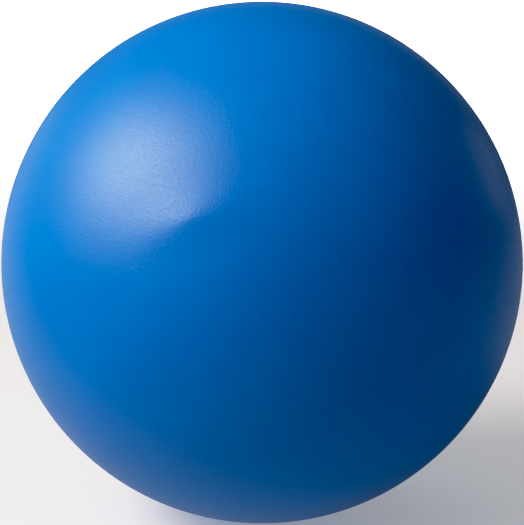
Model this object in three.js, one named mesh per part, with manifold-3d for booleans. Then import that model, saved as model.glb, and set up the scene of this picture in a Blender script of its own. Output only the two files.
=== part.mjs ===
// A hollow, air-filled rubber play ball, built as it comes apart on a bench: two half covers over an
// airtight bladder, with a strip across each seam, and a valve that a push-in plug closes.
// Millimetres, +Z up, origin at the ball's centre. +Y is the moulding axis and leaves the ball through the
// valve at the rear. The seams lie in the plane Y = 0, and the front, towards -Y, has one raised oval spot.

import * as THREE from "three";
import { mergeVertices } from "three/addons/utils/BufferGeometryUtils.js";
import Module from "manifold-3d";

const wasm = await Module();
wasm.setup();

// Driving dimensions: cover and bladder
const BALL_DIAMETER = 160;
const COVER_WALL = 2.4;
const BLADDER_WALL = 1;
const BOND_GAP = 0.3; // film of cement between bonded faces
const COVER_STRIP_WIDTH = 14;
const COVER_STRIP_THICKNESS = 0.8;
const BLADDER_TAPE_WIDTH = 12;
const BLADDER_TAPE_THICKNESS = 0.6;

// Driving dimensions: raised spot on the front cover
const SPOT_LENGTH = 52;
const SPOT_WIDTH = 26;
const SPOT_HEIGHT = 0.9;
const SPOT_PEAK = 0.65; // 1 gives a round top, and less draws it to a point
const SPOT_TURN_DEGREES = 14.2; // towards -X, from -Y
const SPOT_LIFT_DEGREES = 17.7; // above the level
const SPOT_SLOPE_DEGREES = 22; // of its length, which rises towards +X

// Driving dimensions: valve plug
const STEM_DIAMETER = 5.6; // under the head
const STEM_TAPER_DEGREES = 2; // on each side
const STEM_REACH = 2.5; // past the end of the bush's neck
const RIB_COUNT = 3;
const RIB_HEIGHT = 0.2;
const RIB_WIDTH = 1.2;
const HEAD_OVERHANG = 2.4; // beyond the stem
const HEAD_THICKNESS = 1.6;
const HEAD_ROUND = 0.5;
const DISH_DEPTH = 0.4;
const DISH_RIM = 0.7; // flat ring between the head's rounded edge and its dish
const PLUG_CLEARANCE = 0.3;

// Driving dimensions: valve bush, its port in the cover, and its patch
const FINGER_MOAT = 0.9; // room for a fingernail round the plug's head
const MOUTH_WALL = 1.9;
const MOUTH_SINK = 0.5; // mouth below the ball's surface
const FLANGE_OVERHANG = 9;
const FLANGE_THICKNESS = 1.6;
const NECK_WALL = 2;
const NECK_LENGTH = 12;
const PORT_ROUND = 0.8;
const PATCH_LAP = 6;
const PATCH_THICKNESS = 0.8;

// Fineness of the round surfaces: nested shells share rings and segments, so that they nest facet by facet
const RING_STEP = THREE.MathUtils.degToRad(7.5);
const LEAST_STEP = THREE.MathUtils.degToRad(0.1);
const SHELL_SEGMENTS = 48;
const VALVE_SEGMENTS = 32;
const ARC_STEPS = 3;
const SPOT_STEPS = 6;
const WELD = 1e-3;

// Radii of the plies, from the outside in
const BALL_RADIUS = BALL_DIAMETER / 2;
const COVER_INSIDE = BALL_RADIUS - COVER_WALL;
const BLADDER_OUTSIDE = COVER_INSIDE - BOND_GAP;
const BLADDER_INSIDE = BLADDER_OUTSIDE - BLADDER_WALL;
const FLANGE_OUTSIDE = BLADDER_INSIDE - BOND_GAP;
const FLANGE_INSIDE = FLANGE_OUTSIDE - FLANGE_THICKNESS;

// Radii about the valve's axis
const HEAD_RADIUS = STEM_DIAMETER / 2 + HEAD_OVERHANG;
const POCKET_RADIUS = HEAD_RADIUS + FINGER_MOAT;
const BARREL_RADIUS = POCKET_RADIUS + MOUTH_WALL;
const PORT_RADIUS = BARREL_RADIUS + BOND_GAP;
const FLANGE_RADIUS = BARREL_RADIUS + FLANGE_OVERHANG;
const NECK_RADIUS = STEM_DIAMETER / 2 + RIB_HEIGHT + PLUG_CLEARANCE + NECK_WALL;

// Heights along the valve's axis
const MOUTH_Y = heightOn(BALL_RADIUS, BARREL_RADIUS) - MOUTH_SINK;
const HEAD_UNDERSIDE_Y = MOUTH_Y - HEAD_THICKNESS;
const POCKET_FLOOR_Y = HEAD_UNDERSIDE_Y - PLUG_CLEARANCE;
const NECK_END_Y = heightOn(FLANGE_INSIDE, NECK_RADIUS) - NECK_LENGTH;
const STEM_TIP_Y = NECK_END_Y - STEM_REACH;

// Height of a sphere about the ball's centre at a distance from the valve's axis
function heightOn(sphereRadius, axisDistance) {
  return Math.sqrt(sphereRadius ** 2 - axisDistance ** 2);
}

// Angle from +Y at which a sphere about the ball's centre is a distance from the valve's axis
function polarAtDistance(sphereRadius, axisDistance) {
  return Math.asin(axisDistance / sphereRadius);
}

// Angle from +Y at which a sphere about the ball's centre is a height along the valve's axis
function polarAtHeight(sphereRadius, height) {
  return Math.acos(height / sphereRadius);
}

// Point of the section at a distance from the ball's centre and an angle from +Y
function pointAt(distance, angle) {
  return new THREE.Vector2(distance * Math.sin(angle), distance * Math.cos(angle));
}

// Points of a sphere's meridian between two angles from +Y, with the rings that nested shells share
function meridian(sphereRadius, start, end) {
  const low = Math.min(start, end);
  const high = Math.max(start, end);
  const angles = [low];
  const first = Math.ceil((low + LEAST_STEP) / RING_STEP);
  for (let ring = first; ring * RING_STEP < high - LEAST_STEP; ring += 1) {
    angles.push(ring * RING_STEP);
  }
  angles.push(high);
  if (start > end) angles.reverse();
  return angles.map((angle) => pointAt(sphereRadius, angle));
}

// Points of a meridian between two distances from the valve's axis, on the valve's side of the ball
function valveMeridian(sphereRadius, startDistance, endDistance) {
  return meridian(
    sphereRadius,
    polarAtDistance(sphereRadius, startDistance),
    polarAtDistance(sphereRadius, endDistance),
  );
}

// Points of a small circular arc in the section, between two angles in quarter turns
function roundCorner(x, y, radius, startQuarter, endQuarter) {
  const quarter = Math.PI / 2;
  const clockwise = endQuarter < startQuarter;
  const curve = new THREE.EllipseCurve(
    x, y, radius, radius, startQuarter * quarter, endQuarter * quarter, clockwise,
  );
  return curve.getPoints(ARC_STEPS);
}

// Solid of revolution about Y from a section that closes on itself
function turnedRing(section, segments) {
  return new THREE.LatheGeometry([...section, section[0].clone()], segments);
}

// Solid for joining, from a closed geometry
function solidOf(geometry) {
  const bare = geometry.clone();
  bare.deleteAttribute("normal");
  bare.deleteAttribute("uv");
  const welded = mergeVertices(bare, WELD);
  const mesh = new wasm.Mesh({
    numProp: 3,
    vertProperties: new Float32Array(welded.attributes.position.array),
    triVerts: new Uint32Array(welded.index.array),
  });
  return new wasm.Manifold(mesh);
}

// Geometry of a joined solid
function geometryOf(solid) {
  const mesh = solid.getMesh();
  const geometry = new THREE.BufferGeometry();
  geometry.setAttribute("position", new THREE.BufferAttribute(mesh.vertProperties, mesh.numProp));
  geometry.setIndex(new THREE.BufferAttribute(mesh.triVerts, 1));
  geometry.computeVertexNormals();
  return geometry;
}

// Inside of a cover half, from its port or pole to the seam, with the rebate that takes the seam strip
function coverInside(portRadius) {
  const rebate = COVER_INSIDE + COVER_STRIP_THICKNESS + BOND_GAP;
  const rebateEdge = COVER_STRIP_WIDTH / 2 + BOND_GAP;
  const port = polarAtDistance(COVER_INSIDE, portRadius);
  return [
    ...meridian(COVER_INSIDE, port, polarAtHeight(COVER_INSIDE, rebateEdge)),
    ...meridian(rebate, polarAtHeight(rebate, rebateEdge), polarAtHeight(rebate, BOND_GAP / 2)),
  ];
}

function makeCoverFront() {
  const outside = meridian(BALL_RADIUS, polarAtHeight(BALL_RADIUS, BOND_GAP / 2), 0);
  const shell = new THREE.LatheGeometry([...coverInside(0), ...outside], SHELL_SEGMENTS);
  shell.rotateX(Math.PI);
  return geometryOf(solidOf(shell).add(solidOf(makeRaisedSpot())));
}

// Low oval swelling with a drawn-up middle and a soft edge, rooted halfway into the cover's wall
function makeRaisedSpot() {
  const rootRadius = BALL_RADIUS - COVER_WALL / 2;
  const halfWidth = polarAtDistance(BALL_RADIUS, SPOT_WIDTH / 2);
  const halfLength = polarAtDistance(BALL_RADIUS, SPOT_LENGTH / 2);
  const section = meridian(rootRadius, 0, halfWidth);
  for (let step = 0; step <= SPOT_STEPS; step += 1) {
    const share = 1 - step / SPOT_STEPS;
    const swelling = (SPOT_HEIGHT * (1 + Math.cos(Math.PI * share ** SPOT_PEAK))) / 2;
    section.push(pointAt(BALL_RADIUS + swelling, halfWidth * share));
  }
  const spot = stretchOnBall(new THREE.LatheGeometry(section, VALVE_SEGMENTS), halfLength / halfWidth);
  spot.rotateX(Math.PI);
  spot.rotateY(THREE.MathUtils.degToRad(-SPOT_SLOPE_DEGREES));
  spot.rotateX(THREE.MathUtils.degToRad(-SPOT_LIFT_DEGREES));
  return spot.rotateZ(THREE.MathUtils.degToRad(-SPOT_TURN_DEGREES));
}

// Stretch of a round patch of the ball about +Y, along X, that keeps each point's distance from the centre
function stretchOnBall(patch, ratio) {
  const positions = patch.attributes.position;
  const point = new THREE.Vector3();
  const place = new THREE.Spherical();
  for (let index = 0; index < positions.count; index += 1) {
    place.setFromVector3(point.fromBufferAttribute(positions, index));
    place.phi /= Math.hypot(Math.sin(place.theta) / ratio, Math.cos(place.theta));
    point.setFromSpherical(place);
    positions.setXYZ(index, point.x, point.y, point.z);
  }
  return patch;
}

function makeCoverRear() {
  const round = Math.min(PORT_ROUND, COVER_WALL / 2);
  const lip = PORT_RADIUS + round;
  const seam = polarAtHeight(BALL_RADIUS, BOND_GAP / 2);
  const section = [
    ...coverInside(PORT_RADIUS),
    ...meridian(BALL_RADIUS, seam, polarAtDistance(BALL_RADIUS, lip)),
    ...roundCorner(lip, heightOn(BALL_RADIUS, lip) - round, round, 1, 2).slice(1),
  ];
  return turnedRing(section, SHELL_SEGMENTS);
}

function makeBladderFront() {
  const seamInside = polarAtHeight(BLADDER_INSIDE, BOND_GAP / 2);
  const seamOutside = polarAtHeight(BLADDER_OUTSIDE, BOND_GAP / 2);
  const section = [
    ...meridian(BLADDER_INSIDE, 0, seamInside),
    ...meridian(BLADDER_OUTSIDE, seamOutside, 0),
  ];
  return new THREE.LatheGeometry(section, SHELL_SEGMENTS).rotateX(Math.PI);
}

function makeBladderRear() {
  const portInside = polarAtDistance(BLADDER_INSIDE, PORT_RADIUS);
  const portOutside = polarAtDistance(BLADDER_OUTSIDE, PORT_RADIUS);
  const section = [
    ...meridian(BLADDER_INSIDE, portInside, polarAtHeight(BLADDER_INSIDE, BOND_GAP / 2)),
    ...meridian(BLADDER_OUTSIDE, polarAtHeight(BLADDER_OUTSIDE, BOND_GAP / 2), portOutside),
  ];
  return turnedRing(section, SHELL_SEGMENTS);
}

// Band round the ball's equator, which bridges a seam from the inside
function makeSeamBand(insideRadius, thickness, width) {
  const outsideRadius = insideRadius + thickness;
  const half = width / 2;
  const section = [
    ...meridian(insideRadius, polarAtHeight(insideRadius, half), polarAtHeight(insideRadius, -half)),
    ...meridian(outsideRadius, polarAtHeight(outsideRadius, -half), polarAtHeight(outsideRadius, half)),
  ];
  return turnedRing(section, SHELL_SEGMENTS);
}

function makeCoverStrip() {
  return makeSeamBand(COVER_INSIDE, COVER_STRIP_THICKNESS, COVER_STRIP_WIDTH);
}

function makeBladderTape() {
  const inside = BLADDER_INSIDE - BOND_GAP - BLADDER_TAPE_THICKNESS;
  return makeSeamBand(inside, BLADDER_TAPE_THICKNESS, BLADDER_TAPE_WIDTH);
}

// Radius of the plug's tapered stem at a height
function stemRadius(y) {
  const taper = Math.tan(THREE.MathUtils.degToRad(STEM_TAPER_DEGREES));
  return STEM_DIAMETER / 2 - (HEAD_UNDERSIDE_Y - y) * taper;
}

// Radius of the bush's bore at a height, clear of the plug's ribs
function boreRadius(y) {
  return stemRadius(y) + RIB_HEIGHT + PLUG_CLEARANCE;
}

// Bush: neck with a tapered bore, flange behind the bladder, and mouth with a pocket for the plug's head
function makeValveBush() {
  const section = [
    new THREE.Vector2(boreRadius(NECK_END_Y), NECK_END_Y),
    new THREE.Vector2(boreRadius(NECK_END_Y) + NECK_WALL, NECK_END_Y),
    ...valveMeridian(FLANGE_INSIDE, NECK_RADIUS, FLANGE_RADIUS),
    ...valveMeridian(FLANGE_OUTSIDE, FLANGE_RADIUS, BARREL_RADIUS),
    new THREE.Vector2(BARREL_RADIUS, MOUTH_Y),
    new THREE.Vector2(POCKET_RADIUS, MOUTH_Y),
    new THREE.Vector2(POCKET_RADIUS, POCKET_FLOOR_Y),
    new THREE.Vector2(boreRadius(POCKET_FLOOR_Y), POCKET_FLOOR_Y),
  ];
  return turnedRing(section, VALVE_SEGMENTS);
}

// Patch: a washer over the flange, stepped at its rim so that its lap lies on the bladder
function makeValvePatch() {
  const holeRadius = NECK_RADIUS + BOND_GAP;
  const stepRadius = FLANGE_RADIUS + BOND_GAP;
  const flangeFace = FLANGE_INSIDE - BOND_GAP;
  const lapFace = BLADDER_INSIDE - BOND_GAP;
  const section = [
    ...valveMeridian(flangeFace - PATCH_THICKNESS, holeRadius, stepRadius + PATCH_THICKNESS),
    ...valveMeridian(lapFace - PATCH_THICKNESS, stepRadius + PATCH_THICKNESS, FLANGE_RADIUS + PATCH_LAP),
    ...valveMeridian(lapFace, FLANGE_RADIUS + PATCH_LAP, stepRadius),
    ...valveMeridian(flangeFace, stepRadius, holeRadius),
  ];
  return turnedRing(section, VALVE_SEGMENTS);
}

// Plug: round-nosed tapered stem with sealing ribs, and a dished head that lies flush with the bush's mouth
function makeValvePlug() {
  const noseRadius = stemRadius(STEM_TIP_Y);
  const section = roundCorner(0, STEM_TIP_Y + noseRadius, noseRadius, 3, 4);
  const ribPitch = (POCKET_FLOOR_Y - NECK_END_Y) / (RIB_COUNT + 1);
  for (let rib = 1; rib <= RIB_COUNT; rib += 1) {
    const crest = NECK_END_Y + rib * ribPitch;
    const foot = crest - RIB_WIDTH / 2;
    const top = crest + RIB_WIDTH / 2;
    section.push(new THREE.Vector2(stemRadius(foot), foot));
    section.push(new THREE.Vector2(stemRadius(crest) + RIB_HEIGHT, crest));
    section.push(new THREE.Vector2(stemRadius(top), top));
  }
  section.push(new THREE.Vector2(STEM_DIAMETER / 2, HEAD_UNDERSIDE_Y));
  section.push(new THREE.Vector2(HEAD_RADIUS, HEAD_UNDERSIDE_Y));
  const round = Math.min(HEAD_ROUND, HEAD_THICKNESS / 2);
  section.push(...roundCorner(HEAD_RADIUS - round, MOUTH_Y - round, round, 0, 1));
  const dishRadius = HEAD_RADIUS - round - DISH_RIM;
  for (let step = 0; step <= ARC_STEPS; step += 1) {
    const share = 1 - step / ARC_STEPS;
    section.push(new THREE.Vector2(dishRadius * share, MOUTH_Y - DISH_DEPTH * (1 - share ** 2)));
  }
  return new THREE.LatheGeometry(section, VALVE_SEGMENTS);
}

const ball = new THREE.Group();

function addPiece(name, geometry, color, roughness) {
  const mesh = new THREE.Mesh(geometry, new THREE.MeshStandardMaterial({ color, roughness, metalness: 0 }));
  mesh.name = name;
  ball.add(mesh);
}

addPiece("cover_front", makeCoverFront(), 0x006dc0, 0.45);
addPiece("cover_rear", makeCoverRear(), 0x006dc0, 0.45);
addPiece("cover_seam_strip", makeCoverStrip(), 0x0b4b86, 0.8);
addPiece("bladder_front", makeBladderFront(), 0x1d1e21, 0.7);
addPiece("bladder_rear", makeBladderRear(), 0x1d1e21, 0.7);
addPiece("bladder_seam_tape", makeBladderTape(), 0x2c2d31, 0.8);
addPiece("valve_bush", makeValveBush(), 0x0a5aa3, 0.55);
addPiece("valve_patch", makeValvePatch(), 0x2c2d31, 0.8);
addPiece("valve_plug", makeValvePlug(), 0xe6e3da, 0.5);

export default ball;
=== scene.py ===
"""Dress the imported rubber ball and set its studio.

The ball is a hollow, air-filled play ball: two satin half covers over a black bladder, a strip across
each seam, and a valve at the rear that a push-in plug closes. Everything is in metres, in the frame of
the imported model: +Z is up, the origin is the ball's centre, and +Y leaves the ball through the valve.
"""

import logging
import math
from collections.abc import Callable
from dataclasses import dataclass, field, replace
from enum import Enum
from functools import cached_property
from itertools import pairwise

import bmesh
import bpy
from bmesh.types import BMesh, BMVert
from bpy.types import Light, Material, Node, NodeSocket as Socket, NodeTree, Object
from mathutils import Matrix, Vector, noise


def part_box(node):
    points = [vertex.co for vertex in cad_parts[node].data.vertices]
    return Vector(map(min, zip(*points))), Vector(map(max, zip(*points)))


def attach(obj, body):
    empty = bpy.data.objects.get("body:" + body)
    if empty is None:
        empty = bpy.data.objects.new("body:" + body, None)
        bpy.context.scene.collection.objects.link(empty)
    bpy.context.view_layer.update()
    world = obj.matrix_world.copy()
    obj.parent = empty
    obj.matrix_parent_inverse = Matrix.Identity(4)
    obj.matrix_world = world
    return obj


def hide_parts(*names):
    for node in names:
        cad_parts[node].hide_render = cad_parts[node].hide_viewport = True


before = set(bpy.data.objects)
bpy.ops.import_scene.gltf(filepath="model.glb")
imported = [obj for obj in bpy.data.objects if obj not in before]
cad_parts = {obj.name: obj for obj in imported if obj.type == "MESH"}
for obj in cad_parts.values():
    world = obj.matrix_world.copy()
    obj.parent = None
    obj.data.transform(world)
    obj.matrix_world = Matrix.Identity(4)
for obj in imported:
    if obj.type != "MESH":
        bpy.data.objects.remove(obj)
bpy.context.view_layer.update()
BALL_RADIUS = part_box("cover_rear")[1].x

LOG = logging.getLogger("rubber_ball")

MM = 0.001
ON_AXIS = 1e-7
CORNER_ROOM = 0.49
CORNER_STEPS = 4
CURVE_STEPS = 8
SHELL_SEGMENTS = 192
VALVE_SEGMENTS = 128
FLOOR_SEGMENTS = 96

Colour = tuple[float, float, float]
Place = tuple[float, float, float]
Range = tuple[float, float]
Ring = list[BMVert]
Feed = Socket | float | Colour

WHITE: Colour = (1.0, 1.0, 1.0)
TALC: Colour = (0.42, 0.42, 0.43)


class Body(Enum):
    """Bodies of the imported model."""

    BALL = "ball"
    PLUG = "plug"


class Slot(Enum):
    """Material slots of the record."""

    COVER = "cover"
    SEAM_STRIP = "seam_strip"
    BLADDER = "bladder"
    BLADDER_PATCH = "bladder_patch"
    VALVE_BUSH = "valve_bush"
    VALVE_PLUG = "valve_plug"


class ClothLay(Enum):
    """How the cloth that left its print lay on a piece while it was pressed."""

    FLAT = "flat across the valve's axis"
    ROUND = "wound round the valve's axis"


# Turned meshes


def rounded_corner(corner: Vector, before: Vector, after: Vector, radius: float) -> list[Vector]:
    """Round a corner of a section.

    Args:
        corner: The sharp corner.
        before: The way to the point before it.
        after: The way to the point after it.
        radius: Radius of the arc, made smaller where room is short.

    Returns:
        The arc's points.
    """
    half = before.angle(after) / 2
    room = CORNER_ROOM * min(before.length, after.length)
    run = min(radius / math.tan(half), room)
    fitted = run * math.tan(half)
    middle = (before.normalized() + after.normalized()).normalized()
    centre = corner + middle * (fitted / math.sin(half))
    start = corner + before.normalized() * run - centre
    end = corner + after.normalized() * run - centre
    return [centre + fitted * start.slerp(end, step / CORNER_STEPS) for step in range(CORNER_STEPS + 1)]


@dataclass
class Section:
    """Half section of a turned piece, by distance from the valve's axis and height along it."""

    corners: list[tuple[Vector, float]] = field(default_factory=list)

    def corner(self, distance: float, height: float, rounding: float = 0.0) -> None:
        """Add a corner, with the radius that rounds it."""
        self.corners.append((Vector((distance, height)), rounding))

    def meridian(self, radius: float, ends: Range, step: float, rounds: Range = (0.0, 0.0)) -> None:
        """Add an arc of a sphere about the ball's centre.

        Args:
            radius: Radius of the sphere.
            ends: First and last angle from +Y, in degrees.
            step: Largest step between points, in degrees.
            rounds: Radii that round the arc's first and last point.
        """
        start, end = ends
        count = max(1, math.ceil(abs(end - start) / step))
        rounding = {0: rounds[0], count: rounds[1]}
        for index in range(count + 1):
            angle = math.radians(start + (end - start) * index / count)
            self.corner(radius * math.sin(angle), radius * math.cos(angle), rounding.get(index, 0.0))

    def outline(self, closed: bool) -> list[Vector]:
        """Round the section's corners.

        Args:
            closed: Whether the last corner joins the first.

        Returns:
            The points, in order.
        """
        points: list[Vector] = []
        last = len(self.corners) - 1
        for index, (corner, rounding) in enumerate(self.corners):
            if rounding == 0 or (not closed and index in (0, last)):
                points.append(corner)
                continue
            before = self.corners[index - 1][0] - corner
            after = self.corners[(index + 1) % len(self.corners)][0] - corner
            points.extend(rounded_corner(corner, before, after, rounding))
        return points


def at_distance(radius: float, distance: float) -> float:
    """Angle from +Y, in degrees, at which a sphere lies a distance from the valve's axis."""
    return math.degrees(math.asin(distance / radius))


def at_height(radius: float, height: float) -> float:
    """Angle from +Y, in degrees, at which a sphere has a height along the valve's axis."""
    return math.degrees(math.acos(height / radius))


def height_on(radius: float, distance: float) -> float:
    """Height of a sphere at a distance from the valve's axis."""
    return math.sqrt(radius**2 - distance**2)


def swelling(share: float) -> float:
    """Height of a soft-edged swelling, from 1 at its middle to 0 where the share of its reach is 1."""
    return 0.0 if share >= 1 else (1 + math.cos(math.pi * share)) / 2


def keep_mesh(name: str, mesh: BMesh) -> Object:
    """Put a finished mesh in the scene.

    Args:
        name: Name of the object and its mesh.
        mesh: The mesh, which is freed.

    Returns:
        The object.
    """
    data = bpy.data.meshes.new(name)
    mesh.to_mesh(data)
    mesh.free()
    kept = bpy.data.objects.new(name, data)
    bpy.context.scene.collection.objects.link(kept)
    return kept


def turn(name: str, section: Section, segments: int, closed: bool, front: bool = False) -> Object:
    """Turn a section about the valve's axis.

    Args:
        name: Name of the piece.
        section: Its half section.
        segments: Number of steps in a full turn.
        closed: Whether the section closes on itself, clear of the axis.
        front: Whether the piece is on the front side of the seam.

    Returns:
        The piece, smooth-shaded.
    """
    side = -1 if front else 1
    mesh = bmesh.new()
    rings: list[Ring] = []
    for distance, height in section.outline(closed):
        spokes = segments if distance > ON_AXIS else 1
        reach = distance if spokes > 1 else 0.0
        angles = [math.tau * spoke / spokes for spoke in range(spokes)]
        places = [(reach * math.cos(angle), side * height, reach * math.sin(angle)) for angle in angles]
        rings.append([mesh.verts.new(place) for place in places])
    if closed:
        rings.append(rings[0])
    for ring, after in pairwise(rings):
        for spoke in range(max(len(ring), len(after))):
            round_face = ((ring, spoke), (ring, spoke + 1), (after, spoke + 1), (after, spoke))
            corners = [points[index % len(points)] for points, index in round_face]
            mesh.faces.new(list(dict.fromkeys(corners)))
    bmesh.ops.recalc_face_normals(mesh, faces=mesh.faces)
    piece = keep_mesh(name, mesh)
    piece.data.shade_smooth()
    piece.modifiers.new("crisp_corners", "WEIGHTED_NORMAL")
    return piece


def raise_surface(piece: Object, height: Callable[[Vector], float]) -> None:
    """Move a piece's points away from the ball's centre, each by the height at its place."""
    for vertex in piece.data.vertices:
        vertex.co += vertex.co.normalized() * height(vertex.co)


# Shader nodes


@dataclass
class Sheet:
    """Adds nodes to one node tree and links them."""

    tree: NodeTree

    def feed(self, socket: Socket, value: Feed) -> None:
        """Link an output to a socket, or set the socket to a plain value.

        Args:
            socket: The socket to feed.
            value: The output or the value.
        """
        if isinstance(value, Socket):
            self.tree.links.new(value, socket)
        elif isinstance(value, tuple) and socket.type == "RGBA":
            socket.default_value = (*value, 1.0)
        else:
            socket.default_value = value

    def add(self, kind: str, *values: Feed, **settings: object) -> Node:
        """Add a node.

        Args:
            kind: Blender's name for the type of node.
            values: What its first inputs are fed.
            settings: Properties of the node.

        Returns:
            The node.
        """
        node = self.tree.nodes.new(kind)
        for name, setting in settings.items():
            setattr(node, name, setting)
        for socket, value in zip(node.inputs, values):
            self.feed(socket, value)
        return node

    def fill(self, node: Node, **values: Feed) -> Node:
        """Feed a node's inputs by name.

        Args:
            node: The node.
            values: What its inputs are fed, with a low line for each space in a name.

        Returns:
            The node.
        """
        for name, value in values.items():
            self.feed(node.inputs[name.replace("_", " ")], value)
        return node

    def math(self, operation: str, *values: Feed) -> Socket:
        """Work out a value."""
        return self.add("ShaderNodeMath", *values, operation=operation).outputs[0]

    def axes(self, place: Socket) -> tuple[Socket, ...]:
        """Split a place into its X, Y and Z."""
        return tuple(self.add("ShaderNodeSeparateXYZ", place).outputs)

    def distance(self, place: Socket, centre: Place) -> Socket:
        """Measure how far a place is from a fixed centre."""
        return self.add("ShaderNodeVectorMath", place, centre, operation="DISTANCE").outputs["Value"]

    def clouds(self, place: Socket, scale: Feed, layers: float) -> Socket:
        """Add a soft random pattern about 0.5, by its patches in a metre and its layers of finer ones."""
        node = self.add("ShaderNodeTexNoise")
        return self.fill(node, Vector=place, Scale=scale, Detail=layers).outputs[0]

    def remap(self, value: Socket, limits: tuple[Feed, Feed], ends: Range) -> Socket:
        """Spread a value smoothly, so that the limits become the ends."""
        node = self.add("ShaderNodeMapRange", value, *limits, *ends, interpolation_type="SMOOTHSTEP")
        return node.outputs[0]

    def tint(self, factor: Socket, first: Feed, second: Feed) -> Socket:
        """Mix two colours.

        Args:
            factor: Share of the second colour.
            first: The first colour.
            second: The second colour.

        Returns:
            The mixed colour.
        """
        node = self.add("ShaderNodeMix", factor, data_type="RGBA")
        colours = [socket for socket in node.inputs if socket.type == "RGBA"]
        for socket, value in zip(colours, (first, second)):
            self.feed(socket, value)
        return next(socket for socket in node.outputs if socket.type == "RGBA")

    def effect(self, group: NodeTree, **values: Feed) -> Node:
        """Place a shared effect, and feed its inputs by name."""
        return self.fill(self.add("ShaderNodeGroup", node_tree=group), **values)


class SocketKind(Enum):
    """Kinds of socket on a shared effect."""

    VALUE = "NodeSocketFloat"
    PLACE = "NodeSocketVector"
    COLOUR = "NodeSocketColor"


class Effects:
    """Surface effects that the finishes share, each a node group made once."""

    KINDS = {"Place": SocketKind.PLACE, "Colour": SocketKind.COLOUR, "Deep Colour": SocketKind.COLOUR}
    PEBBLES_PER_SPECK = 0.8
    PEBBLE_SOFTNESS = 0.7
    PEBBLE_DEPTH = 0.5
    RIPPLES_PER_SPECK = 0.07
    PIT_LEVELS: Range = (0.05, 0.4)
    FINE_PER_BROAD_PATCH = 14.0
    FINE_PATCH_SHARE = 0.35
    MOTTLE_LEVELS: Range = (0.35, 0.65)
    FILM_LEVELS: Range = (0.42, 0.68)
    POWDER_PER_PATCH = 24.0
    POWDER_LEVELS: Range = (0.35, 0.7)
    POWDER_AMOUNTS: Range = (0.3, 1.0)
    WAVERS_PER_METRE = 260.0

    def _start(
        self, name: str, inputs: tuple[str, ...], outputs: tuple[str, ...]
    ) -> tuple[Sheet, list[Socket], list[Socket]]:
        """Start a node group.

        Args:
            name: Name of the effect.
            inputs: Names of its inputs.
            outputs: Names of its outputs.

        Returns:
            A sheet for the group's nodes, and the sockets inside the group, in order.
        """
        tree = bpy.data.node_groups.new(name, "ShaderNodeTree")
        for side, sockets in (("INPUT", inputs), ("OUTPUT", outputs)):
            for socket in sockets:
                kind = self.KINDS.get(socket, SocketKind.VALUE)
                tree.interface.new_socket(name=socket, in_out=side, socket_type=kind.value)
        sheet = Sheet(tree)
        given = sheet.add("NodeGroupInput").outputs
        wanted = sheet.add("NodeGroupOutput").inputs
        return sheet, [given[key] for key in inputs], [wanted[key] for key in outputs]

    @cached_property
    def grain(self) -> NodeTree:
        """Fine grain that a blasted mould leaves on rubber, with a slow ripple under it."""
        sheet, (place, fineness, ripple_share), (height, pits) = self._start(
            "moulded_grain", ("Place", "Fineness", "Ripple"), ("Height", "Pits")
        )
        specks = sheet.clouds(place, fineness, layers=2.0)
        pebbles = sheet.fill(
            sheet.add("ShaderNodeTexVoronoi", feature="SMOOTH_F1"),
            Vector=place,
            Scale=sheet.math("MULTIPLY", fineness, self.PEBBLES_PER_SPECK),
            Smoothness=self.PEBBLE_SOFTNESS,
        )
        ripple_scale = sheet.math("MULTIPLY", fineness, self.RIPPLES_PER_SPECK)
        ripple = sheet.clouds(place, ripple_scale, layers=1.0)
        hollows = sheet.math("MULTIPLY", pebbles.outputs["Distance"], self.PEBBLE_DEPTH)
        domes = sheet.math("SUBTRACT", specks, hollows)
        sheet.feed(height, sheet.math("MULTIPLY_ADD", ripple, ripple_share, domes))
        sheet.feed(pits, sheet.remap(domes, self.PIT_LEVELS, (1.0, 0.0)))
        return sheet.tree

    @cached_property
    def mottle(self) -> NodeTree:
        """Slight unevenness of a compound's colour."""
        sheet, (place, patches, colour, deep_colour), (mottled,) = self._start(
            "colour_mottle", ("Place", "Patches", "Colour", "Deep Colour"), ("Colour",)
        )
        broad = sheet.clouds(place, patches, layers=3.0)
        fine_scale = sheet.math("MULTIPLY", patches, self.FINE_PER_BROAD_PATCH)
        fine = sheet.clouds(place, fine_scale, layers=1.0)
        broad_part = sheet.math("MULTIPLY", broad, 1 - self.FINE_PATCH_SHARE)
        both = sheet.math("MULTIPLY_ADD", fine, self.FINE_PATCH_SHARE, broad_part)
        share = sheet.remap(both, self.MOTTLE_LEVELS, (0.0, 1.0))
        sheet.feed(mottled, sheet.tint(share, colour, deep_colour))
        return sheet.tree

    @cached_property
    def film(self) -> NodeTree:
        """Patchy film, such as talc, dust or bloom, with a fine powder break."""
        sheet, (place, patches, amount), (mask,) = self._start(
            "powder_film", ("Place", "Patches", "Amount"), ("Mask",)
        )
        broad = sheet.remap(sheet.clouds(place, patches, layers=4.0), self.FILM_LEVELS, (0.0, 1.0))
        powder_scale = sheet.math("MULTIPLY", patches, self.POWDER_PER_PATCH)
        specks = sheet.clouds(place, powder_scale, layers=2.0)
        powder = sheet.remap(specks, self.POWDER_LEVELS, self.POWDER_AMOUNTS)
        sheet.feed(mask, sheet.math("MULTIPLY", sheet.math("MULTIPLY", broad, powder), amount))
        return sheet.tree

    @cached_property
    def buffing(self) -> NodeTree:
        """Band beside a seam where the flash was buffed off."""
        sheet, (place, half_width, fade), (mask,) = self._start(
            "buffed_band", ("Place", "Half Width", "Fade"), ("Mask",)
        )
        off_seam = sheet.math("ABSOLUTE", sheet.axes(place)[1])
        waver = sheet.math("MULTIPLY", sheet.clouds(place, self.WAVERS_PER_METRE, layers=2.0), fade)
        edge = sheet.math("ADD", half_width, waver)
        outer = sheet.math("ADD", edge, fade)
        sheet.feed(mask, sheet.remap(off_seam, (edge, outer), (1.0, 0.0)))
        return sheet.tree

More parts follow.
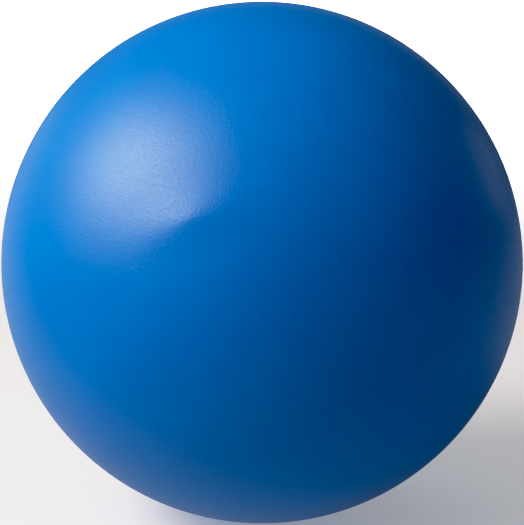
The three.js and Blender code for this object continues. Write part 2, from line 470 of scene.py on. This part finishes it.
    @cached_property
    def cloth(self) -> NodeTree:
        """Print that the weave of a pressing cloth leaves in rubber, from 0 to 1."""
        sheet, (across, along, threads), (height,) = self._start(
            "cloth_print", ("Across", "Along", "Threads"), ("Height",)
        )
        turns = sheet.math("MULTIPLY", threads, math.pi)
        warp = sheet.math("SINE", sheet.math("MULTIPLY", across, turns))
        weft = sheet.math("SINE", sheet.math("MULTIPLY", along, turns))
        woven = sheet.math("MULTIPLY", warp, weft)
        sheet.feed(height, sheet.math("MULTIPLY_ADD", woven, 0.5, 0.5))
        return sheet.tree


# Finishes


@dataclass(frozen=True)
class Grain:
    """Moulded grain: grains in a metre, their depth in metres, and the share of slow ripple."""

    fineness: float
    depth: float
    ripple: float = 0.6


@dataclass(frozen=True)
class Film:
    """Powdery film: its colour, how much there is, patches in a metre, and how it dulls the surface."""

    colour: Colour
    amount: float
    patches: float
    dulling: float = 0.2

    def mask(self, sheet: Sheet, effects: Effects, place: Socket) -> Socket:
        """Place the film in a material, and give its mask."""
        node = sheet.effect(effects.film, Place=place, Patches=self.patches, Amount=self.amount)
        return node.outputs["Mask"]


@dataclass(frozen=True)
class Buffing:
    """Buffed band beside a seam: half its width, its fade, its colour, and how it dulls the surface."""

    half_width: float
    fade: float
    colour: Colour
    dulling: float

    def mask(self, sheet: Sheet, effects: Effects, place: Socket) -> Socket:
        """Place the band in a material, and give its mask."""
        node = sheet.effect(effects.buffing, Place=place, Half_Width=self.half_width, Fade=self.fade)
        return node.outputs["Mask"]


@dataclass(frozen=True)
class ClothPrint:
    """Print of a pressing cloth: how the cloth lay, its threads in a metre, and the print's depth."""

    lay: ClothLay
    threads: float
    depth: float


@dataclass(frozen=True)
class RubberFinish:
    """Finish of a rubber piece, with the effects that its surface shows."""

    name: str
    colour: Colour
    deep_colour: Colour
    roughness: float
    grain: Grain
    patches: float = 45.0
    pit_dulling: float = 0.06
    film: Film | None = None
    buffing: Buffing | None = None
    cloth: ClothPrint | None = None

    def material(self, effects: Effects) -> Material:
        """Make the material.

        Args:
            effects: The shared effects.

        Returns:
            The material.
        """
        made = bpy.data.materials.new(self.name)
        made.use_nodes = True
        sheet = Sheet(made.node_tree)
        place = sheet.add("ShaderNodeTexCoord").outputs["Object"]
        shades = {"Patches": self.patches, "Colour": self.colour, "Deep_Colour": self.deep_colour}
        colour = sheet.effect(effects.mottle, Place=place, **shades).outputs["Colour"]
        texture = {"Fineness": self.grain.fineness, "Ripple": self.grain.ripple}
        grain = sheet.effect(effects.grain, Place=place, **texture).outputs
        roughness = sheet.math("MULTIPLY_ADD", grain["Pits"], self.pit_dulling, self.roughness)
        height = sheet.math("MULTIPLY", grain["Height"], self.grain.depth)
        for layer in filter(None, (self.buffing, self.film)):
            mask = layer.mask(sheet, effects, place)
            colour = sheet.tint(mask, colour, layer.colour)
            roughness = sheet.math("MULTIPLY_ADD", mask, layer.dulling, roughness)
        if self.cloth:
            weave = self._weave(sheet, effects, place)
            height = sheet.math("MULTIPLY_ADD", weave, self.cloth.depth, height)
        bump = sheet.fill(sheet.add("ShaderNodeBump"), Distance=1.0, Height=height).outputs["Normal"]
        shader = made.node_tree.nodes["Principled BSDF"]
        sheet.fill(shader, Base_Color=colour, Roughness=roughness, Normal=bump)
        return made

    def _weave(self, sheet: Sheet, effects: Effects, place: Socket) -> Socket:
        """Lay the cloth print flat or round, as the cloth was.

        Args:
            sheet: Sheet of the material's nodes.
            effects: The shared effects.
            place: Place on the surface.

        Returns:
            The print's height, from 0 to 1.
        """
        across, off_seam, along = sheet.axes(place)
        if self.cloth.lay is ClothLay.ROUND:
            angle = sheet.math("ARCTAN2", along, across)
            across, along = sheet.math("MULTIPLY", angle, BALL_RADIUS), off_seam
        weave = sheet.effect(effects.cloth, Across=across, Along=along, Threads=self.cloth.threads)
        return weave.outputs["Height"]


COVER_FINISH = RubberFinish(
    name="satin_blue_cover",
    colour=(0.0, 0.196, 0.645),
    deep_colour=(0.0, 0.185, 0.617),
    roughness=0.335,
    grain=Grain(fineness=2000.0, depth=0.042 * MM, ripple=0.2),
    pit_dulling=0.115,
    film=Film(colour=(0.05, 0.22, 0.55), amount=0.05, patches=70.0, dulling=0.5),
    buffing=Buffing(half_width=1.6 * MM, fade=1.2 * MM, colour=(0.006, 0.171, 0.535), dulling=0.12),
)
STRIP_FINISH = RubberFinish(
    name="seam_strip_rubber",
    colour=(0.005, 0.080, 0.250),
    deep_colour=(0.004, 0.066, 0.215),
    roughness=0.66,
    grain=Grain(fineness=900.0, depth=0.02 * MM),
    film=Film(colour=(0.30, 0.26, 0.17), amount=0.35, patches=160.0),
    cloth=ClothPrint(ClothLay.ROUND, threads=1400.0, depth=0.04 * MM),
)
BLADDER_FINISH = RubberFinish(
    name="black_bladder_rubber",
    colour=(0.013, 0.014, 0.016),
    deep_colour=(0.009, 0.009, 0.011),
    roughness=0.55,
    grain=Grain(fineness=700.0, depth=0.025 * MM),
    film=Film(colour=TALC, amount=0.30, patches=60.0),
    buffing=Buffing(half_width=6.5 * MM, fade=1.0 * MM, colour=(0.034, 0.035, 0.038), dulling=0.2),
)
TAPE_FINISH = RubberFinish(
    name="bladder_tape_rubber",
    colour=(0.028, 0.029, 0.033),
    deep_colour=(0.020, 0.021, 0.025),
    roughness=0.64,
    grain=Grain(fineness=900.0, depth=0.015 * MM),
    film=Film(colour=TALC, amount=0.22, patches=90.0),
    cloth=ClothPrint(ClothLay.ROUND, threads=1600.0, depth=0.05 * MM),
)
PATCH_FINISH = replace(
    TAPE_FINISH, name="valve_patch_rubber", cloth=replace(TAPE_FINISH.cloth, lay=ClothLay.FLAT)
)
BUSH_FINISH = RubberFinish(
    name="valve_bush_rubber",
    colour=(0.002, 0.105, 0.360),
    deep_colour=(0.002, 0.088, 0.310),
    roughness=0.44,
    grain=Grain(fineness=2200.0, depth=0.012 * MM),
    patches=160.0,
    film=Film(colour=(0.30, 0.38, 0.48), amount=0.10, patches=420.0, dulling=0.3),
)
PLUG_FINISH = RubberFinish(
    name="pale_plug_rubber",
    colour=(0.760, 0.735, 0.660),
    deep_colour=(0.690, 0.660, 0.580),
    roughness=0.42,
    grain=Grain(fineness=2600.0, depth=0.008 * MM),
    patches=220.0,
    film=Film(colour=(0.40, 0.36, 0.29), amount=0.16, patches=500.0, dulling=0.3),
)


# Sub-assemblies


@dataclass
class Piece:
    """A modelled piece, and the CAD node that it stands for."""

    shape: Object
    node: str
    slot: Slot
    finish: RubberFinish
    body: Body = Body.BALL

    def settle(self) -> None:
        """Ride the piece on its body, in place of its CAD node."""
        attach(self.shape, self.body.value)
        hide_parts(self.node)


@dataclass
class SubAssembly:
    """Pieces that belong together, with the walls and gaps of the ball's plies."""

    ball_radius: float = BALL_RADIUS
    cover_wall: float = 2.4 * MM
    bladder_wall: float = 1.0 * MM
    bond_gap: float = 0.3 * MM
    port_radius: float = 8.3 * MM
    cover_inside: float = ball_radius - cover_wall
    bladder_outside: float = cover_inside - bond_gap
    bladder_inside: float = bladder_outside - bladder_wall
    pieces: list[Piece] = field(default_factory=list)

    def build(self) -> None:
        """Build the meshes."""
        raise NotImplementedError

    def dress(self, effects: Effects) -> None:
        """Give each piece its finish.

        Args:
            effects: The shared effects.
        """
        made: dict[str, Material] = {}
        for piece in self.pieces:
            finish = piece.finish
            if finish.name not in made:
                made[finish.name] = finish.material(effects)
            piece.shape.data.materials.append(made[finish.name])


@dataclass
class Cover(SubAssembly):
    """The two halves of the blue rubber cover."""

    port_round: float = 0.8 * MM
    rebate_depth: float = 1.1 * MM
    rebate_half_width: float = 7.3 * MM
    rebate_round: float = 0.3 * MM
    seam_inner_round: float = 0.1 * MM
    seam_round: float = 0.2 * MM
    seam_gap: float = 0.05 * MM
    seam_bead_height: float = 0.08 * MM
    seam_bead_reach: float = 2.2 * MM
    seam_fine_degrees: float = 3.0
    seam_step: float = 0.3
    inner_step: float = 4.0
    outer_step: float = 0.6
    valve_ring_radius: float = 14.0 * MM
    valve_ring_reach: float = 1.1 * MM
    valve_ring_height: float = 0.22 * MM
    valve_fine_degrees: float = 13.0
    valve_step: float = 0.2
    wave_height: float = 0.03 * MM
    waves_per_metre: float = 45.0
    spot_length: float = 52.0 * MM
    spot_width: float = 26.0 * MM
    spot_height: float = 0.9 * MM
    spot_peak: float = 0.65
    spot_turn_degrees: float = 14.2
    spot_lift_degrees: float = 17.7
    spot_slope_degrees: float = 22.0

    def build(self) -> None:
        """Build the front half with its raised spot, and the rear half with its valve port."""
        front = turn("front_cover", self._half(0.0), SHELL_SEGMENTS, closed=False, front=True)
        rear = turn("rear_cover", self._half(self.port_radius), SHELL_SEGMENTS, closed=True)
        for half, node in ((front, "cover_front"), (rear, "cover_rear")):
            raise_surface(half, self._relief)
            self.pieces.append(Piece(half, node, Slot.COVER, COVER_FINISH))

    def _half(self, port: float) -> Section:
        """Draw a half, from its inner pole or port, past the strip's rebate, round the seam and back.

        Args:
            port: Radius of the valve port, or 0.

        Returns:
            The section.
        """
        inside, outside, width = self.cover_inside, self.ball_radius, self.rebate_half_width
        rebate = inside + self.rebate_depth
        inner_ends = (at_distance(inside, port), at_height(inside, width))
        rebate_ends = (at_height(rebate, width), at_height(rebate, self.bond_gap / 2))
        seam = at_height(outside, self.seam_gap / 2)
        fine = seam - self.seam_fine_degrees
        end = self.valve_fine_degrees if port else 0.0
        section = Section()
        section.meridian(inside, inner_ends, self.inner_step, (0.0, self.rebate_round))
        section.meridian(rebate, rebate_ends, self.inner_step, (self.rebate_round, self.seam_inner_round))
        section.meridian(outside, (seam, fine), self.seam_step, (self.seam_round, 0.0))
        section.meridian(outside, (fine - self.outer_step, end), self.outer_step)
        if port:
            self._lip(section)
        return section

    def _lip(self, section: Section) -> None:
        """Add the finely divided face round the valve port, and the port's rounded lip.

        Args:
            section: The section to add to.
        """
        middle = self.port_radius + self.port_round
        ends = (self.valve_fine_degrees - self.valve_step, at_distance(self.ball_radius, middle))
        section.meridian(self.ball_radius, ends, self.valve_step)
        height = height_on(self.ball_radius, middle) - self.port_round
        for step in range(1, CURVE_STEPS + 1):
            angle = math.pi / 2 * (1 + step / CURVE_STEPS)
            rise = self.port_round * math.sin(angle)
            section.corner(middle + self.port_round * math.cos(angle), height + rise)

    def _relief(self, point: Vector) -> float:
        """Add slow waves, the bead of the seam's flash, and the raised spot or the ring round the valve.

        Args:
            point: A point of the cover.

        Returns:
            Height to add there, which fades out from the outer face to the wall's middle.
        """
        waves = self.wave_height * noise.noise(point * self.waves_per_metre)
        bead = self.seam_bead_height * swelling(abs(point.y) / self.seam_bead_reach)
        feature = self._spot(point) if point.y < 0 else self._ring(point)
        depth = self.ball_radius - point.length
        outer_share = min(1.0, max(0.0, 1 - depth / (self.cover_wall / 2)))
        return (waves + bead + feature) * outer_share

    def _spot(self, point: Vector) -> float:
        """Raise the oval spot on the front half, worked out with the spot turned to -Y and level.

        Args:
            point: A point of the front half.

        Returns:
            The spot's height there.
        """
        angles = (self.spot_slope_degrees, self.spot_lift_degrees, self.spot_turn_degrees)
        slope, lift, swing = (Matrix.Rotation(math.radians(a), 3, axis) for a, axis in zip(angles, "YXZ"))
        at_spot = slope @ lift @ swing @ point
        half_length = math.asin(self.spot_length / 2 / self.ball_radius)
        half_width = math.asin(self.spot_width / 2 / self.ball_radius)
        off_middle = at_spot.angle(Vector((0.0, -1.0, 0.0)))
        bearing = math.atan2(at_spot.z, at_spot.x)
        share = off_middle * math.hypot(math.cos(bearing) / half_length, math.sin(bearing) / half_width)
        return self.spot_height * swelling(share**self.spot_peak)

    def _ring(self, point: Vector) -> float:
        """Height of the moulded ring that marks the valve on the rear half."""
        off_ring = abs(math.hypot(point.x, point.z) - self.valve_ring_radius)
        return self.valve_ring_height * swelling(off_ring / self.valve_ring_reach)


@dataclass
class Bladder(SubAssembly):
    """The two halves of the airtight bladder."""

    step: float = 2.0
    edge_round: float = 0.2 * MM
    wave_height: float = 0.04 * MM
    waves_per_metre: float = 60.0

    def build(self) -> None:
        """Build the closed front half, and the rear half with its valve hole."""
        front = turn("front_bladder", self._half(0.0), SHELL_SEGMENTS, closed=False, front=True)
        rear = turn("rear_bladder", self._half(self.port_radius), SHELL_SEGMENTS, closed=True)
        for half, node in ((front, "bladder_front"), (rear, "bladder_rear")):
            raise_surface(half, self._waves)
            self.pieces.append(Piece(half, node, Slot.BLADDER, BLADDER_FINISH))

    def _half(self, port: float) -> Section:
        """Draw a half, from its pole or valve hole round the seam and back.

        Args:
            port: Radius of the valve hole, or 0.

        Returns:
            The section.
        """
        inside, outside, seam = self.bladder_inside, self.bladder_outside, self.bond_gap / 2
        port_round = self.edge_round if port else 0.0
        inner_ends = (at_distance(inside, port), at_height(inside, seam))
        outer_ends = (at_height(outside, seam), at_distance(outside, port))
        section = Section()
        section.meridian(inside, inner_ends, self.step, (port_round, self.edge_round))
        section.meridian(outside, outer_ends, self.step, (self.edge_round, port_round))
        return section

    def _waves(self, point: Vector) -> float:
        """Slow waves of the thin moulded wall."""
        return self.wave_height * noise.noise(point * self.waves_per_metre)


@dataclass
class SeamBands(SubAssembly):
    """The strip inside the cover's seam and the tape inside the bladder's, with skived edges and a lap."""

    strip_thickness: float = 0.8 * MM
    strip_half_width: float = 7.0 * MM
    tape_thickness: float = 0.6 * MM
    tape_half_width: float = 6.0 * MM
    skive_width: float = 1.8 * MM
    skive_share: float = 0.45
    edge_round: float = 0.12 * MM
    lap_length: float = 12.0 * MM
    lap_height: float = 0.16 * MM
    lap_fade: float = 2.0 * MM
    step: float = 0.8

    def build(self) -> None:
        """Build the cover's strip and the bladder's tape."""
        strip = self._band("cover_strip", self.cover_inside, self.strip_thickness, self.strip_half_width)
        self.pieces.append(Piece(strip, "cover_seam_strip", Slot.SEAM_STRIP, STRIP_FINISH))
        tape_inside = self.bladder_inside - self.bond_gap - self.tape_thickness
        tape = self._band("bladder_tape", tape_inside, self.tape_thickness, self.tape_half_width)
        self.pieces.append(Piece(tape, "bladder_seam_tape", Slot.BLADDER_PATCH, TAPE_FINISH))

    def _band(self, name: str, inside: float, thickness: float, half_width: float) -> Object:
        """Build a band round the seam, skived thin at its edges on the inner face.

        Args:
            name: Name of the piece.
            inside: Radius of its inner face.
            thickness: Its thickness.
            half_width: Half its width.

        Returns:
            The piece.
        """
        outside = inside + thickness
        edge = height_on(outside - thickness * self.skive_share, half_width)
        full_half = half_width - self.skive_width
        inner_ends = (at_height(inside, full_half), at_height(inside, -full_half))
        outer_ends = (at_height(outside, -half_width), at_height(outside, half_width))
        rounds = (self.edge_round, self.edge_round)
        section = Section()
        section.corner(edge, half_width, self.edge_round)
        section.meridian(inside, inner_ends, self.step, rounds)
        section.corner(edge, -half_width, self.edge_round)
        section.meridian(outside, outer_ends, self.step, rounds)
        band = turn(name, section, SHELL_SEGMENTS, closed=True)
        middle = (inside + outside) / 2
        raise_surface(band, lambda point: -self._lap(point) if point.length < middle else 0.0)
        return band

    def _lap(self, point: Vector) -> float:
        """Extra thickness at the lowest point of the band, where its two ends lap."""
        along = math.atan2(point.x, -point.z) * self.ball_radius
        return self.lap_height * min(1.0, max(0.0, (self.lap_length / 2 - abs(along)) / self.lap_fade))


@dataclass
class Valve(SubAssembly):
    """The valve: its bush in the cover, the patch behind its flange, and the plug that closes it."""

    mouth_height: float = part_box("valve_bush")[1].y
    neck_end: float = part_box("valve_bush")[0].y
    stem_tip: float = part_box("valve_plug")[0].y
    head_radius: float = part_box("valve_plug")[1].x
    flange_radius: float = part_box("valve_bush")[1].x
    patch_radius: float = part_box("valve_patch")[1].x
    head_thickness: float = 1.6 * MM
    head_round: float = 0.5 * MM
    stem_radius: float = 2.8 * MM
    stem_taper_degrees: float = 2.0
    dish_rim: float = 0.7 * MM
    dish_depth: float = 0.4 * MM
    dish_steps: int = 24
    gate_radius: float = 0.7 * MM
    gate_flat_share: float = 0.5
    gate_height: float = 0.14 * MM
    rib_count: int = 3
    rib_height: float = 0.2 * MM
    rib_width: float = 1.2 * MM
    clearance: float = 0.3 * MM
    pocket_radius: float = 6.1 * MM
    barrel_radius: float = 8.0 * MM
    neck_wall: float = 2.0 * MM
    neck_round: float = 0.6 * MM
    flange_thickness: float = 1.6 * MM
    flange_step: float = 0.9
    grip_step: float = 0.225
    grip_ring_count: int = 4
    grip_ring_height: float = 0.14 * MM
    grip_ring_reach: float = 0.6 * MM
    face_tolerance: float = 0.015 * MM
    patch_thickness: float = 0.8 * MM
    skived_edge: float = 0.35 * MM
    skive_run: float = 1.75 * MM
    skive_lip: float = 0.0875 * MM
    edge_round: float = 0.3 * MM
    small_round: float = 0.15 * MM
    head_underside: float = mouth_height - head_thickness
    pocket_floor: float = head_underside - clearance
    flange_outside: float = SubAssembly.bladder_inside - SubAssembly.bond_gap
    flange_inside: float = flange_outside - flange_thickness
    neck_radius: float = stem_radius + rib_height + clearance + neck_wall

    def build(self) -> None:
        """Build the bush, the patch and the plug."""
        bush = turn("valve_body", self._bush_section(), VALVE_SEGMENTS, closed=True)
        raise_surface(bush, self._grip_rings)
        patch = turn("flange_patch", self._patch_section(), VALVE_SEGMENTS, closed=True)
        plug = turn("pull_plug", self._plug_section(), VALVE_SEGMENTS, closed=False)
        self.pieces += [
            Piece(bush, "valve_bush", Slot.VALVE_BUSH, BUSH_FINISH),
            Piece(patch, "valve_patch", Slot.BLADDER_PATCH, PATCH_FINISH),
            Piece(plug, "valve_plug", Slot.VALVE_PLUG, PLUG_FINISH, Body.PLUG),
        ]

    def _stem(self, height: float) -> float:
        """Radius of the plug's tapered stem at a height."""
        taper = math.tan(math.radians(self.stem_taper_degrees))
        return self.stem_radius - (self.head_underside - height) * taper

    def _bore(self, height: float) -> float:
        """Radius of the bush's bore at a height, clear of the plug's ribs."""
        return self._stem(height) + self.rib_height + self.clearance

    def _bush_section(self) -> Section:
        """Draw the bush: neck with a tapered bore, flange, and mouth with the pocket for the plug's head.

        Returns:
            The section.
        """
        inside, outside = self.flange_inside, self.flange_outside
        end, mouth, floor = self.neck_end, self.mouth_height, self.pocket_floor
        inner_ends = (at_distance(inside, self.neck_radius), at_distance(inside, self.flange_radius))
        outer_ends = (at_distance(outside, self.flange_radius), at_distance(outside, self.barrel_radius))
        section = Section()
        section.corner(self._bore(end), end, self.edge_round)
        section.corner(self._bore(end) + self.neck_wall, end, self.neck_round)
        section.meridian(inside, inner_ends, self.flange_step, (self.neck_round, self.edge_round))
        section.meridian(outside, outer_ends, self.grip_step, (self.edge_round, 0.0))
        for distance, height in (
            (self.barrel_radius, mouth),
            (self.pocket_radius, mouth),
            (self.pocket_radius, floor),
            (self._bore(floor), floor),
        ):
            section.corner(distance, height, self.edge_round)
        return section

    def _grip_rings(self, point: Vector) -> float:
        """Raise fine rings on the flange's bonded face, which key it to the bladder.

        Args:
            point: A point of the bush.

        Returns:
            Height to add there.
        """
        on_face = abs(point.length - self.flange_outside) < self.face_tolerance
        pitch = (self.flange_radius - self.barrel_radius) / (self.grip_ring_count + 1)
        step = (math.hypot(point.x, point.z) - self.barrel_radius) / pitch
        nearest = round(step)
        if not on_face or not 1 <= nearest <= self.grip_ring_count:
            return 0.0
        return self.grip_ring_height * swelling(abs(step - nearest) * pitch / self.grip_ring_reach)

    def _patch_section(self) -> Section:
        """Draw the patch: a washer over the flange, stepped so that its skived lap lies on the bladder.

        Returns:
            The section.
        """
        hole = self.neck_radius + self.bond_gap
        step = self.flange_radius + self.bond_gap
        outer_step = step + self.patch_thickness
        edge = self.patch_radius
        over_flange = self.flange_inside - self.bond_gap
        over_bladder = self.bladder_inside - self.bond_gap
        faces = (
            (over_flange - self.patch_thickness, hole, outer_step),
            (over_bladder - self.patch_thickness, outer_step, edge - self.skive_run),
            (over_bladder - self.skived_edge, edge - self.skive_lip, edge),
            (over_bladder, edge, step),
            (over_flange, step, hole),
        )
        section = Section()
        for radius, start, end in faces:
            ends = (at_distance(radius, start), at_distance(radius, end))
            section.meridian(radius, ends, self.flange_step, (self.small_round, self.small_round))
        return section

    def _plug_section(self) -> Section:
        """Draw the plug: round nose, tapered stem with sealing ribs, and dished head with its gate mark.

        Returns:
            The section.
        """
        section = Section()
        nose = self._stem(self.stem_tip)
        for step in range(CURVE_STEPS + 1):
            angle = math.pi / 2 * step / CURVE_STEPS
            section.corner(nose * math.sin(angle), self.stem_tip + nose * (1 - math.cos(angle)))
        pitch = (self.pocket_floor - self.neck_end) / (self.rib_count + 1)
        for rib in range(1, self.rib_count + 1):
            crest = self.neck_end + rib * pitch
            for step in range(-CURVE_STEPS, CURVE_STEPS + 1):
                height = crest + self.rib_width / 2 * step / CURVE_STEPS
                bulge = self.rib_height * swelling(abs(step) / CURVE_STEPS)
                section.corner(self._stem(height) + bulge, height)
        section.corner(self.stem_radius, self.head_underside, self.edge_round)
        section.corner(self.head_radius, self.head_underside, self.small_round)
        section.corner(self.head_radius, self.mouth_height, self.head_round)
        dish = self.head_radius - self.head_round - self.dish_rim
        for step in range(self.dish_steps + 1):
            share = 1 - step / self.dish_steps
            sink = self.dish_depth * (1 - share**2)
            off_gate = max(0.0, share * dish / self.gate_radius - self.gate_flat_share)
            height = self.mouth_height - sink + self.gate_height * swelling(off_gate)
            section.corner(dish * share, height, self.small_round if step == 0 else 0.0)
        return section


# Studio


def aim(obj: Object, azimuth: float, elevation: float, distance: float) -> None:
    """Add a lamp or camera to the scene, aimed at the ball's centre.

    Args:
        obj: The lamp or camera.
        azimuth: Degrees to the right of the camera's side.
        elevation: Degrees above the level.
        distance: Distance from the centre.
    """
    bearing, lift = math.radians(azimuth), math.radians(elevation)
    level = math.cos(lift)
    way = Vector((math.sin(bearing) * level, -math.cos(bearing) * level, math.sin(lift)))
    obj.location = way * distance
    obj.rotation_mode = "QUATERNION"
    obj.rotation_quaternion = way.to_track_quat("Z", "Y")
    bpy.context.scene.collection.objects.link(obj)


@dataclass(frozen=True)
class SoftLamp:
    """Oval soft lamp aimed at the ball: where it stands, half its spread in degrees, and its radiance."""

    name: str
    azimuth: float
    elevation: float
    distance: float
    half_across: float
    half_up: float
    radiance: float
    gloss: bool = True
    graded: bool = False
    colour: Colour = WHITE
    face_middle: Place = (0.5, 0.5, 0.0)
    face_radius: float = 0.5

    def build(self) -> None:
        """Hang the lamp."""
        data = bpy.data.lights.new(self.name, "AREA")
        data.shape = "ELLIPSE"
        data.size = 2 * self.distance * math.tan(math.radians(self.half_across))
        data.size_y = 2 * self.distance * math.tan(math.radians(self.half_up))
        face_area = math.pi / 4 * data.size * data.size_y
        data.energy = math.pi * face_area * self.radiance
        data.color = self.colour
        if self.graded:
            self._grade(data)
        lamp = bpy.data.objects.new(self.name, data)
        lamp.visible_camera = False
        lamp.visible_glossy = self.gloss
        aim(lamp, self.azimuth, self.elevation, self.distance)

    def _grade(self, data: Light) -> None:
        """Make the lamp's face bright in its middle and dark at its edge, as a soft box is.

        Args:
            data: The lamp's data.
        """
        data.use_nodes = True
        sheet = Sheet(data.node_tree)
        on_face = sheet.add("ShaderNodeNewGeometry").outputs["Parametric"]
        off_middle = sheet.distance(on_face, self.face_middle)
        strength = sheet.remap(off_middle, (0.0, self.face_radius), (1.0, 0.0))
        sheet.fill(data.node_tree.nodes["Emission"], Strength=strength)


@dataclass(frozen=True)
class Floor:
    """Pale round floor under the ball.

    The camera sees a matt sheet that fades out into the backdrop. The ball sees a sheet lit from below,
    more at its left, dimmer far to the front left, and shaded beside the ball's foot.
    """

    height: float = -BALL_RADIUS
    radius: float = 1.4
    fade: float = 1.1
    roughness: float = 0.9
    specular: float = 0.1
    tone_seen: float = 0.90
    glow_seen: float = 0.25
    glow_left_to_right: Range = (0.58, 0.34)
    blend: float = 0.1
    dim_share: float = 0.3
    dim_limits: Range = (0.10, 0.32)
    shade_share: float = 0.38
    shade_place: Place = (0.06, 0.055, 0.0)
    shade_limits: Range = (0.05, 0.15)

    def build(self) -> None:
        """Lay the floor."""
        mesh = bmesh.new()
        bmesh.ops.create_circle(mesh, cap_ends=True, segments=FLOOR_SEGMENTS, radius=self.radius)
        floor = keep_mesh("floor", mesh)
        floor.location.z = self.height
        floor.data.materials.append(self._material())

    def _material(self) -> Material:
        """Make the floor's material, with one look for the camera and one for the ball.

        Returns:
            The material.
        """
        made = bpy.data.materials.new("pale_floor")
        made.use_nodes = True
        sheet = Sheet(made.node_tree)
        seen = sheet.add("ShaderNodeLightPath").outputs["Is Camera Ray"]
        place = sheet.add("ShaderNodeTexCoord").outputs["Object"]
        unseen_glow = sheet.math("MULTIPLY", sheet.math("SUBTRACT", 1.0, seen), self._glow(sheet, place))
        off_middle = sheet.distance(place, (0.0, 0.0, 0.0))
        faded = sheet.remap(off_middle, (self.radius - self.fade, self.radius), (0.0, 1.0))
        sheet.fill(
            made.node_tree.nodes["Principled BSDF"],
            Base_Color=sheet.math("MULTIPLY", seen, self.tone_seen),
            Roughness=self.roughness,
            Specular_IOR_Level=self.specular,
            Emission_Color=WHITE,
            Emission_Strength=sheet.math("MULTIPLY_ADD", seen, self.glow_seen, unseen_glow),
            Alpha=sheet.math("SUBTRACT", 1.0, sheet.math("MULTIPLY", faded, seen)),
        )
        return made

    def _glow(self, sheet: Sheet, place: Socket) -> Socket:
        """Work out the glow that the ball sees.

        Args:
            sheet: Sheet of the floor's nodes.
            place: Place on the floor.

        Returns:
            The strength of the glow.
        """
        to_right, to_rear, _ = sheet.axes(place)
        across = sheet.remap(to_right, (-self.blend, self.blend), self.glow_left_to_right)
        front_left = sheet.math("SUBTRACT", sheet.math("MULTIPLY", to_right, -1.0), to_rear)
        dimmed = sheet.remap(front_left, self.dim_limits, (1.0, self.dim_share))
        off_shade = sheet.distance(place, self.shade_place)
        shaded = sheet.remap(off_shade, self.shade_limits, (self.shade_share, 1.0))
        return sheet.math("MULTIPLY", across, sheet.math("MULTIPLY", dimmed, shaded))


@dataclass
class Studio:
    """Camera, pale floor and soft lamps, as the photograph has them."""

    photo_height_px: float = 525.0
    ball_radius_px: float = 260.95
    camera_elevation: float = 10.0
    lens_mm: float = 100.0
    sensor_mm: float = 36.0
    ambient: float = 0.135
    backdrop: float = 4.0
    black_level: float = 0.03
    white_level: float = 2.5
    shoulder: tuple[Range, ...] = ((0.50, 0.50), (0.75, 0.70), (0.93, 0.80), (1.20, 0.88), (1.60, 0.94))
    floor: Floor = Floor()
    # Name, azimuth, elevation, distance, half spread across and up, radiance
    lamps: tuple[SoftLamp, ...] = (
        SoftLamp("key", -65, 37.5, 0.8, 37, 29.6, 12.0, graded=True, colour=(1.0, 0.86, 0.84)),
        SoftLamp("top_right", 50, 62, 1.2, 18, 18, 0.31, gloss=False),
        SoftLamp("right", 92, 30, 1.0, 14, 20, 0.14, gloss=False),
        SoftLamp("right_rim", 128, 12, 1.2, 12, 10, 0.42),
        SoftLamp("top_rim", 174, 12, 1.2, 20, 10, 0.16),
        SoftLamp("left_rim", -142, 6, 1.2, 14, 10, 0.42),
        SoftLamp("rear_left", -150, 25, 1.0, 18, 12, 1.0, gloss=False),
        SoftLamp("rear_fill", 165, 10, 1.2, 24, 10, 1.2, gloss=False),
    )

    def build(self) -> None:
        """Set the camera, floor, world, lamps and picture curve."""
        self._camera()
        self.floor.build()
        self._world()
        for lamp in self.lamps:
            lamp.build()
        self._picture()

    def _camera(self) -> None:
        """Aim the camera so that the ball's outline has the size that it has in the photograph."""
        data = bpy.data.cameras.new("photo_camera")
        data.sensor_fit = "VERTICAL"
        data.sensor_height = self.sensor_mm
        data.lens = self.lens_mm
        edge_mm = self.ball_radius_px * self.sensor_mm / self.photo_height_px
        distance = BALL_RADIUS / math.sin(math.atan(edge_mm / self.lens_mm))
        camera = bpy.data.objects.new("photo_camera", data)
        aim(camera, 0.0, self.camera_elevation, distance)
        bpy.context.scene.camera = camera

    def _world(self) -> None:
        """Make a white backdrop for the camera, and a weak even light for all else."""
        world = bpy.data.worlds.new("studio")
        world.use_nodes = True
        sheet = Sheet(world.node_tree)
        nodes = world.node_tree.nodes
        room = sheet.fill(nodes["Background"], Color=WHITE, Strength=self.ambient)
        paper = sheet.fill(sheet.add("ShaderNodeBackground"), Color=WHITE, Strength=self.backdrop)
        seen = sheet.add("ShaderNodeLightPath").outputs["Is Camera Ray"]
        mix = sheet.add("ShaderNodeMixShader", seen, room.outputs[0], paper.outputs[0])
        sheet.fill(nodes["World Output"], Surface=mix.outputs[0])
        bpy.context.scene.world = world

    def _picture(self) -> None:
        """Set a plain tone transform with a camera's deep blacks and soft shoulder."""
        view = bpy.context.scene.view_settings
        view.view_transform = "Standard"
        view.use_curve_mapping = True
        curves = view.curve_mapping
        curves.black_level = (self.black_level,) * 3
        curves.white_level = (self.white_level,) * 3
        tone = curves.curves[3]
        for light, shown in self.shoulder:
            tone.points.new((light - self.black_level) / (self.white_level - self.black_level), shown)
        for point in tone.points:
            point.handle_type = "VECTOR"
        curves.update()


def main() -> None:
    """Build the studio and every sub-assembly, and put each piece in place of its CAD node."""
    logging.basicConfig(level=logging.INFO, format="%(name)s: %(message)s")
    Studio().build()
    effects = Effects()
    for assembly in (Cover(), Bladder(), SeamBands(), Valve()):
        assembly.build()
        assembly.dress(effects)
        for piece in assembly.pieces:
            piece.settle()
            faces = len(piece.shape.data.polygons)
            LOG.info("%s: %s, %d faces", type(assembly).__name__, piece.shape.name, faces)


if __name__ == "__main__":
    main()
